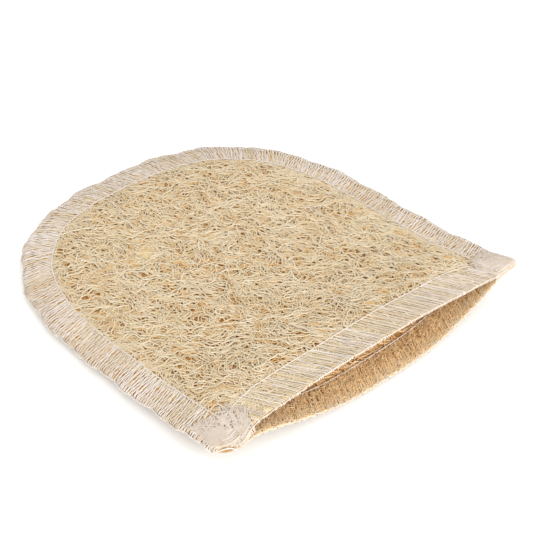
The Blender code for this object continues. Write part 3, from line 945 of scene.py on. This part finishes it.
def seam_points(distance, share, settings, raised, slant):
    """Points of the seam's passes: share -1 is the upper stitch line, 0 the rim, 1 the lower line."""
    bend, flat, turning = wrapped(share, SEAM_WRAP)
    from_corner = np.minimum(distance, RIM_LENGTH - distance)
    radius = np.where(distance > RIM_LENGTH / 2, CORNER_RADII[1], CORNER_RADII[-1])
    drawn = corner_inset(from_corner, radius)
    rim_half = RIM_THICKNESS + TOUCH + 0.5 * settings.thread_width + raised
    inset = mixed(rim_half * 0.9, SEAM_BAND, flat)
    inset = np.where(turning, rim_half * (0.9 - np.cos(bend) * 1.05), inset)
    inset = inset - rim_bumps(distance) * (1 - flat)
    inset = drawn + inset * (SEAM_BAND - drawn) / SEAM_BAND
    slanted = distance + slant * (flat - 0.5) * np.minimum(1.0, from_corner / HEM_BAND)
    x, c = seam_place(np.clip(slanted, 0, RIM_LENGTH), inset)
    height = half_gap(x, c, UPPER) + pressed(inset, SEAM_BAND) + 0.5 * settings.thread_width + raised
    height = np.where(turning, height * np.sin(np.abs(bend)), height)
    return formed(x, c, -np.sign(share) * height)


def seam_passes(rng, settings):
    """Overlock passes over both faces of the edge seam."""
    paths = Paths()
    # Each stitch has two legs, and the second leans back over the first
    second = (SECOND_LEG_SHIFT * settings.stitch_pitch, SECOND_LEG_SLANT * settings.slant)
    for start, slant in ((0.0, settings.slant), second):
        stations = np.arange(0.8 * MM + start, RIM_LENGTH - 0.8 * MM, settings.stitch_pitch)[:, None]
        share = pass_shares(SEAM_WRAP, SEAM_TURN)
        distance = stations + rng.normal(0, 0.1 * MM, stations.shape)
        distance = distance + rng.normal(0, 0.4 * MM, stations.shape) * np.abs(share)
        raised = 0.12 * MM * rng.random(stations.shape) * np.cos(share * math.pi / 2) ** 2
        width = settings.thread_width * rng.uniform(0.85, 1.15, stations.shape)
        patchy = 0.12 * np.sin(stations / (5 * MM)) * np.sin(stations / (3.1 * MM) + 1)
        tone = np.clip(rng.normal(SEAM_TONE, 0.13, stations.shape) + patchy, 0.3, 1)
        share = np.broadcast_to(share, distance.shape)
        paths.extend(seam_points(distance, share, settings, raised, slant), width, tone)
    return paths


def seam_lines(settings):
    """The seam's stitch line on each face, and the two loops of thread that run round its rim."""
    paths = Paths()
    distance = np.arange(6 * MM, RIM_LENGTH - 6 * MM, 0.5 * MM)[None, :]
    zigzag = 0.2 * MM * np.sin(TAU * distance / (2 * settings.stitch_pitch))
    x, c = seam_place(distance, SEAM_BAND + zigzag)
    height = half_gap(x, c, UPPER) + STITCH_LINE_THICKNESS + 0.85 * settings.thread_width
    for layer in (UPPER, LOWER):
        paths.extend(formed(x, c, layer * height), settings.thread_width, 0.9)
    for phase in (0.0, math.pi):
        loop = TAU * distance / settings.stitch_pitch + phase
        x, c = seam_place(distance, -0.35 * MM + 0.18 * MM * np.cos(loop) - rim_bumps(distance))
        paths.extend(formed(x, c, 0.25 * MM * np.sin(loop)), settings.thread_width * 0.9, 0.8)
    return paths


def edge_seam_pieces(settings, material):
    """The overlock seam round both sides and the dome."""
    rng = np.random.default_rng(settings.seed)
    yield made_strands("seam_passes", seam_passes(rng, settings), material, PASS_STRANDS, 11)
    yield made_strands("seam_lines", seam_lines(settings), material, SEAM_LINE_STRANDS, 12)


def hem_points(x, share, layer, settings, slant, raised):
    """Points of a hem's passes: share -1 is the outer face's stitch line, 0 the rim, 1 the inner line."""
    bend, flat, turning = wrapped(share, HEM_WRAP)
    half = 0.5 * (RIM_THICKNESS + settings.thread_width) + raised
    c = mixed(half * 0.9, hem_width(x, layer), flat)
    c = np.where(turning, half * (0.9 - 1.05 * np.cos(bend)), c)
    if layer == LOWER:
        c = c - HEM_BUMP * scallops(x, RIM_BUMP_LENGTH) * (1 - flat)
    skin = 0.5 * settings.thread_width + raised
    out = np.where(share < 0, pressed(np.maximum(c, 0), HEM_BAND) + skin, -skin)
    out = np.where(turning, RIM_THICKNESS / 2 - np.sin(bend) * half, out)
    return on_panel(x + np.where(share < 0, -slant, slant) * flat, c, layer, out)


def hem_stations(rng, layer, pitch):
    """Where a hem's passes start. Towards the upper hem's left corner they are few, and fibre shows."""
    stations = np.arange(-HEM_LIMIT, HEM_LIMIT, pitch)
    if layer == LOWER:
        return stations[:, None]
    dense = smoothstep((stations - DENSE_FROM) / DENSE_RUN)
    return stations[rng.random(len(stations)) < mixed(SPARSE_SHARE, 1.0, dense)][:, None]


def hem_passes(rng, layer, settings):
    """The passes of a hem, round the cuff edge and over both faces."""
    stations = hem_stations(rng, layer, HEM_PITCH_SHARE * settings.stitch_pitch)
    x = stations + rng.normal(0, 0.12 * MM, stations.shape)
    share = pass_shares(HEM_WRAP, HEM_TURN)
    x = x + rng.normal(0, 0.5 * MM, stations.shape) * share
    share = np.broadcast_to(share, x.shape)
    slant = settings.slant * 1.2 * rng.normal(1, 0.16, stations.shape)
    raised = 0.15 * MM * rng.random(stations.shape) * np.cos(share * math.pi / 2) ** 2
    width = settings.thread_width * rng.uniform(0.8, 1.1, stations.shape)
    clean = np.clip(rng.normal(HEM_TONE, 0.14, stations.shape), 0.35, 1.0)
    # On the inner face the tone falls towards the shade colour: painted shade with warm bounce light inside
    # the pocket.
    inner_tone = mixed(0.6, 0.06, smoothstep(np.abs(share) * 2.0))
    tone = np.clip(np.where(share > HEM_TURN, inner_tone + clean - HEM_TONE, clean), 0, 1)
    paths = Paths()
    paths.extend(hem_points(x, share, layer, settings, slant, raised), width, tone)
    return paths


def hem_tangle(rng, layer, settings, count=1500):
    """Short loose stitches over the inside of a hem: warm tan, painted shade with bounce light in the
    pocket, with clean loops among them.
    """
    shape = (count, 1)
    x = rng.uniform(-HEM_LIMIT, HEM_LIMIT, shape)
    share = rng.uniform(0.0, 0.95, shape)
    heading = TANGLE_HEADING + rng.normal(0, 0.35, shape)
    reach = rng.uniform(*TANGLE_REACHES, shape)
    step = np.linspace(-1, 1, 6)[None, :]
    heading = heading + rng.normal(0, 0.7, shape) * step
    x = x + reach * step * np.cos(heading)
    top = hem_width(x, layer)
    c = np.clip(share * top + reach * step * np.sin(heading), 0.0, top)
    skin = settings.thread_width * rng.uniform(0.65, 1.1, shape) * (1 - 0.4 * step**2)
    clean = rng.random(shape) < 0.1
    tone = np.where(clean, 0.9, rng.normal(TANGLE_TONE, 0.14, shape)) + 0.3 * (1 - share) ** 3
    # The left half is paler: painted light on the end of the pocket that the left corner shades
    tone = np.clip(tone + 0.45 * smoothstep(-x / HEM_LIMIT), 0, 1)
    paths = Paths()
    paths.extend(on_panel(x, c, layer, -skin), settings.thread_width * 0.9, tone)
    return paths


def hem_lines(layer, settings):
    """The two stitch lines of a hem and the thread that runs along its rim."""
    paths = Paths()
    thread = settings.thread_width
    x = np.arange(-HEM_LIMIT - 2 * MM, HEM_LIMIT + 2 * MM, 0.5 * MM)[None, :]
    c = hem_width(x, layer) + 0.1 * MM * np.sin(TAU * x / (2 * settings.stitch_pitch))
    paths.extend(on_panel(x, c, layer, pressed(c, HEM_BAND) + 0.9 * thread), thread * 0.9, 0.85)
    paths.extend(on_panel(x, c, layer, -0.9 * thread), thread * 0.9, 0.85 if layer == LOWER else 0.4)
    if layer == UPPER:
        # One taut thread lies along the outer corner of the rim
        c = -0.15 * MM + 0.12 * MM * np.sin(TAU * x / (7 * MM))
        paths.extend(on_panel(x, c, layer, RIM_THICKNESS + 0.22 * MM), thread * 0.8, 0.82)
        return paths
    # The lower rim is drawn into small scallops by loops that come and go
    for phase in (0.0, math.pi):
        loop = TAU * x / settings.stitch_pitch + phase
        c = -0.1 * MM - HEM_BUMP * scallops(x, RIM_BUMP_LENGTH) + 0.1 * MM * np.cos(loop)
        out = 0.1 * MM * np.sin(loop) - 0.1 * MM
        tone = 0.62 + 0.3 * np.sin(TAU * x / (5.1 * MM) + phase)
        paths.extend(on_panel(x, c, layer, out), thread * 0.95, tone)
    return paths


def hem_pieces(name, layer, settings, material, pocket_shaded):
    """The overlock hem on one panel's cuff edge."""
    rng = np.random.default_rng(settings.seed + 20 + layer)
    yield made_strands(name + "_passes", hem_passes(rng, layer, settings), material, PASS_STRANDS, 21)
    yield made_strands(name + "_lines", hem_lines(layer, settings), material, HEM_LINE_STRANDS, 22)
    if layer == LOWER:
        yield made_strands(name + "_tangle", hem_tangle(rng, layer, settings), pocket_shaded, TANGLE_STRANDS, 23)


def corner_wraps(rng, side, settings, count=72, steps=15):
    """Passes over one corner's cuff edge: their points, and how much each is darkened, most at the rim."""
    across = np.linspace(HALF_WIDTH - TACK_REACHES[side], HALF_WIDTH - 0.8 * MM, count)[:, None]
    shape = across.shape
    across = across + rng.normal(0, 0.15 * MM, shape)
    share = np.broadcast_to(np.linspace(-1, 1, steps)[None, :], (count, steps))
    bend, flat, turning = wrapped(share, CORNER_WRAP)
    rounding = corner_inset(HALF_WIDTH - across, CORNER_RADII[side])
    length = mixed(*CORNER_PASSES, rng.random(shape))
    skin = rng.uniform(0.7, 1.2, shape) * settings.thread_width
    x = side * (across - 2.5 * MM * flat * rng.normal(1, 0.6, shape))
    base = half_gap(x, 0 * x, UPPER) + RIM_THICKNESS + skin
    c = rounding + mixed(base * 0.8, length, flat)
    c = np.where(turning, rounding + base * (0.8 - np.cos(bend)), c)
    height = half_gap(x, np.maximum(c, 0), UPPER) + pressed(np.maximum(c, 0), HEM_BAND) + skin
    height = np.where(turning, base * np.sin(np.abs(bend)), height)
    # Darker towards the rim, most round one spot near the left tip
    hollow = np.exp(-(((x - DARKENED_X) / (2.2 * MM)) ** 2))
    return formed(x, c, -np.sign(share) * height), (0.12 + 0.6 * hollow) * (1 - np.abs(share)) ** 3


def darning(rng, side, face, settings, count=260):
    """Short stitches in every direction over one face of a corner, which merge into a smooth lump."""
    shape = (count, 1)
    across = HALF_WIDTH - mixed(1.5 * MM, TACK_REACHES[side], rng.random(shape) ** 1.4)
    up = mixed(*DARNED_HEIGHTS, rng.random(shape) ** 1.3)
    heading = rng.uniform(0, math.pi, shape)
    run = np.linspace(-1, 1, 6)[None, :] * rng.uniform(*DARNED_REACHES, shape)
    heading = heading + rng.normal(0, 0.5, shape) * (run / (3 * MM)) ** 2
    x = np.clip(across + run * np.cos(heading), 0, HALF_WIDTH - 0.5 * MM)
    c = np.maximum(up + run * np.sin(heading), 0.3 * MM)
    near = np.minimum(HALF_WIDTH - x, c)
    skin = (1.1 + 0.15 * rng.random(shape)) * settings.thread_width * smoothstep(near / (1.2 * MM))
    c = c + corner_inset(HALF_WIDTH - x, CORNER_RADII[side])
    deep = np.minimum(pressed(c, HEM_BAND), pressed(HALF_WIDTH - x, SEAM_BAND))
    return formed(side * x, c, face * (half_gap(x, c, UPPER) + deep + skin))


def corner_arch():
    """A slack loop of thread that bridges the darkened spot at the tip of the left cuff corner."""
    share = np.linspace(0, 1, 14)[None, :]
    x = DARKENED_X + mixed(-3.4 * MM, 3.4 * MM, share)
    bulge = np.sin(math.pi * share)
    c = corner_inset(HALF_WIDTH + x, CORNER_RADII[-1]) - mixed(0.3 * MM, 0.7 * MM, bulge)
    return formed(x, c, mixed(-0.9 * MM, 1.4 * MM, bulge))


def corner_tacks(settings, material):
    """The dense thread over both cuff corners, where the seam was run off the edge and back."""
    rng = np.random.default_rng(settings.seed + 40)
    tacks = Paths()
    for side in (-1, 1):
        sets = [corner_wraps(rng, side, settings)]
        sets += [(darning(rng, side, face, settings), 0.0) for face in (UPPER, LOWER)]
        for points, darkened in sets:
            width = settings.thread_width * rng.uniform(0.8, 1.05, (len(points), 1))
            tone = rng.normal(CORNER_TONE, 0.05, (len(points), 1)) - darkened
            tacks.extend(points, width, np.clip(tone, 0, 1))
    tacks.extend(corner_arch(), settings.thread_width, 1.0)
    return made_strands("corner_tacks", tacks, material, TACK_STRANDS, 31)


# Operators


class MITT_OT_panels(Operator):
    """Covers both loofah panels with felt and several levels of fibre"""

    bl_idname = "mitt.panels"
    bl_label = "Loofah panels"

    def execute(self, context):
        settings = context.scene.mitt_panels
        colours = [settings.hollow, settings.tan, settings.straw, settings.cream]
        # Painted light: the inner faces get paler, warmer colours than the outer ones, standing in for warm
        # light bouncing round the pocket, which leaves it a warm orange brown
        pocket_lit = [settings.pocket_lit_hollow, settings.pocket_lit_tan, settings.pocket_lit_straw, settings.pocket_lit_cream]
        materials = (
            loofah_felt_material([settings.hollow, settings.tan, settings.felt, settings.cream]),
            loofah_fibre_material("bleached_loofah_fibre", colours),
            loofah_fibre_material("pocket_lit_loofah_fibre", pocket_lit),
        )
        for name, layer in (("upper_panel", UPPER), ("lower_panel", LOWER)):
            for piece in panel_pieces(name, layer, settings, materials):
                place_piece(piece, name.replace("panel", "loofah_panel"))
        return {"FINISHED"}


class MITT_OT_edge_seam(Operator):
    """Sews the overlock seam round both sides and the dome"""

    bl_idname = "mitt.edge_seam"
    bl_label = "Edge seam"

    def execute(self, context):
        settings = context.scene.mitt_threads
        for piece in edge_seam_pieces(settings, clean_thread(settings)):
            place_piece(piece, "edge_seam")
        return {"FINISHED"}


class MITT_OT_corner_tacks(Operator):
    """Darns both cuff corners shut with dense thread"""

    bl_idname = "mitt.corner_tacks"
    bl_label = "Corner tacks"

    def execute(self, context):
        settings = context.scene.mitt_threads
        # The corner thread is greyer and darker than the seam's: partly its own greyer colour, partly
        # painted shade that tones down the strongly lit corners. Its brown darkens it towards the rim, most
        # at one spot near the left tip.
        colours = [settings.corner_rim_brown, settings.matted, settings.white]
        thread = cotton_thread_material("grey_and_shaded_cotton_thread", colours)
        place_piece(corner_tacks(settings, thread), "edge_seam")
        return {"FINISHED"}


class MITT_OT_cuff_hems(Operator):
    """Sews the overlock hem on the cuff edge of each panel"""

    bl_idname = "mitt.cuff_hems"
    bl_label = "Cuff hems"

    def execute(self, context):
        settings = context.scene.mitt_threads
        clean = clean_thread(settings)
        # The threads inside the lower hem take warm tan colours: painted shade with warm bounce light
        # inside the pocket.
        colours = [settings.pocket_shade_dark, settings.pocket_shade_mid, settings.pocket_shade_pale]
        pocket_shaded = cotton_thread_material("pocket_shaded_cotton_thread", colours)
        for name, layer in (("upper_cuff_hem", UPPER), ("lower_cuff_hem", LOWER)):
            for piece in hem_pieces(name, layer, settings, clean, pocket_shaded):
                place_piece(piece, name)
        return {"FINISHED"}


class MITT_OT_stage(Operator):
    """Makes the pale floor, the soft lights and the camera of the photograph"""

    bl_idname = "mitt.stage"
    bl_label = "Floor, lights and camera"

    def execute(self, context):
        settings = context.scene.mitt_stage
        make_floor(settings)
        make_lights(context.scene)
        make_camera(context.scene, settings)
        return {"FINISHED"}


class MITT_PT_pieces(Panel):
    bl_idname = "MITT_PT_pieces"
    bl_label = "Loofah mitt"
    bl_space_type = "VIEW_3D"
    bl_region_type = "UI"
    bl_category = "Loofah mitt"

    def draw(self, context):
        for makers, settings in (
            ((MITT_OT_panels,), context.scene.mitt_panels),
            ((MITT_OT_edge_seam, MITT_OT_corner_tacks, MITT_OT_cuff_hems), context.scene.mitt_threads),
            ((MITT_OT_stage,), context.scene.mitt_stage),
        ):
            box = self.layout.box()
            for maker in makers:
                box.operator(maker.bl_idname)
            for name in settings.__annotations__:
                box.prop(settings, name)


# Stage

FOCAL_LENGTH = 104.71
TARGET_HEIGHT = 7 * MM
SHIFT = (0.0523, -0.0075)
FLOOR_HALF = 3.0
# Name, place in metres, size in metres and power in watts
LIGHTS = (
    ("key_light", (-0.5, 0.5, 1.1), 0.7, 0.8),
    ("side_light", (0.9, 0.1, 0.9), 0.7, 1.2),
    ("front_light", (-0.45, -0.75, 0.36), 0.6, 6.5),
    ("mouth_light", (0.45, -0.8, 0.3), 0.6, 3.6),
)


def make_floor(settings):
    corners = [(x * FLOOR_HALF, y * FLOOR_HALF, 0) for x, y in ((-1, -1), (1, -1), (1, 1), (-1, 1))]
    floor = new_mesh_object("floor", corners, faces=[(0, 1, 2, 3)])
    material, tree = new_material("matt_white_paper")
    values = {"Base Color": settings.floor, "Roughness": 0.9, "Specular IOR Level": 0.1}
    shader = add(tree, "ShaderNodeBsdfPrincipled", values)
    add(tree, "ShaderNodeOutputMaterial", {"Surface": shader.outputs[0]})
    floor.data.materials.append(material)


def area_light(scene, name, place, size, power):
    """A square light at a place in metres, turned to the middle of the mitt."""
    light = bpy.data.lights.new(name, "AREA")
    light.size = size
    light.energy = power
    lamp = bpy.data.objects.new(name, light)
    scene.collection.objects.link(lamp)
    spot = Matrix.Translation(place)
    lamp.matrix_world = spot @ (-spot.to_translation()).to_track_quat("-Z", "Y").to_matrix().to_4x4()


def make_lights(scene):
    world = bpy.data.worlds.new("soft_room")
    world.use_nodes = True
    tree = world.node_tree
    tree.nodes.clear()
    sky = add(tree, "ShaderNodeBackground", {"Color": (1.0, 1.0, 1.0, 1.0), "Strength": 1.2})
    add(tree, "ShaderNodeOutputWorld", {"Surface": sky.outputs[0]})
    scene.world = world
    scene.view_settings.view_transform = "Standard"
    for name, place, size, power in LIGHTS:
        area_light(scene, name, place, size, power)


def make_camera(scene, settings):
    azimuth, elevation, roll = settings.azimuth, settings.elevation, settings.roll
    back = np.array([
        math.sin(azimuth) * math.cos(elevation),
        -math.cos(azimuth) * math.cos(elevation),
        math.sin(elevation),
    ])
    right = np.array([math.cos(azimuth), math.sin(azimuth), 0.0])
    up = np.cross(back, right)
    right, up = right * math.cos(roll) + up * math.sin(roll), up * math.cos(roll) - right * math.sin(roll)
    data = bpy.data.cameras.new("camera")
    data.sensor_width = 36.0
    data.lens = FOCAL_LENGTH
    data.shift_x, data.shift_y = SHIFT
    data.clip_start, data.clip_end = 0.01, 20.0
    camera = bpy.data.objects.new("camera", data)
    scene.collection.objects.link(camera)
    place = np.array([0.0, 0.0, TARGET_HEIGHT]) + back * settings.distance
    camera.matrix_world = Matrix((
        (right[0], up[0], back[0], place[0]),
        (right[1], up[1], back[1], place[1]),
        (right[2], up[2], back[2], place[2]),
        (0.0, 0.0, 0.0, 1.0),
    ))
    scene.camera = camera


CLASSES = (
    PanelSettings,
    ThreadSettings,
    StageSettings,
    MITT_OT_panels,
    MITT_OT_edge_seam,
    MITT_OT_corner_tacks,
    MITT_OT_cuff_hems,
    MITT_OT_stage,
    MITT_PT_pieces,
)


def register():
    for item in CLASSES:
        bpy.utils.register_class(item)
    bpy.types.Scene.mitt_panels = PointerProperty(type=PanelSettings)
    bpy.types.Scene.mitt_threads = PointerProperty(type=ThreadSettings)
    bpy.types.Scene.mitt_stage = PointerProperty(type=StageSettings)


def unregister():
    del bpy.types.Scene.mitt_panels
    del bpy.types.Scene.mitt_threads
    del bpy.types.Scene.mitt_stage
    for item in reversed(CLASSES):
        bpy.utils.unregister_class(item)


def main():
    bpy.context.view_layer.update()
    register()
    bpy.ops.mitt.panels()
    bpy.ops.mitt.edge_seam()
    bpy.ops.mitt.corner_tacks()
    bpy.ops.mitt.cuff_hems()
    bpy.ops.mitt.stage()
    bpy.context.view_layer.update()


if __name__ == "__main__":
    main()
